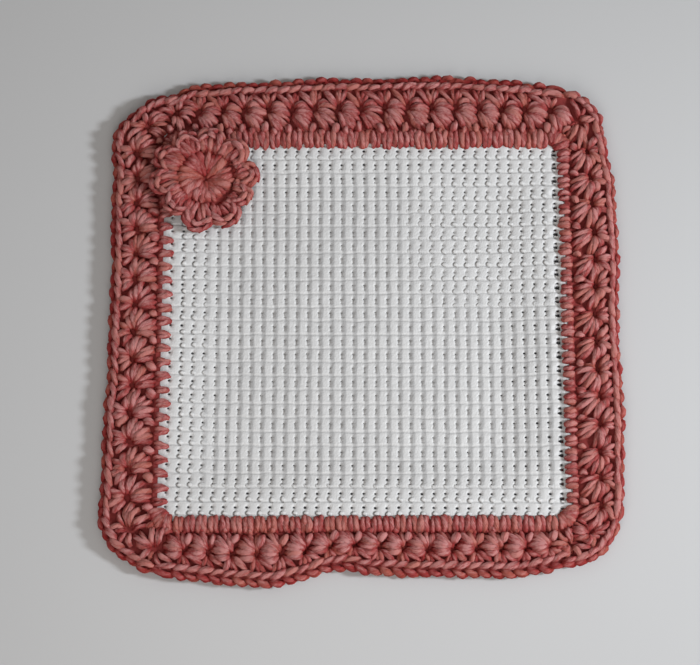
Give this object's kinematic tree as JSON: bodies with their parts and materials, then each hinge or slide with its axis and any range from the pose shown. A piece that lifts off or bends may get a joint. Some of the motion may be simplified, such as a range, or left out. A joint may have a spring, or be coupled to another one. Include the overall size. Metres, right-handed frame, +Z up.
{
  "type": "jar gripper",
  "caption": "Flat square gripper for jar lids: a non-slip foam grip liner with a crochet border and a crochet flower on one corner.",
  "frame": {"origin": "middle of the footprint, on the surface that it lies on", "axes": "+Z up, out of the face with the flower; +Y towards the top edge and +X towards the right edge, with the flower at the top left corner; the liner's ribs run along Y"},
  "size_m": [0.1878, 0.1948, 0.01],
  "materials": {
    "grip_foam": "soft white foam, slightly glossy",
    "cotton_yarn": "matt cotton yarn, dusty rose",
    "flower_yarn": "matt cotton yarn, dusty rose"
  },
  "bodies": {
    "root": {"liner": "grip_foam", "border": "cotton_yarn", "flower": "flower_yarn"}
  },
  "joints": []
}
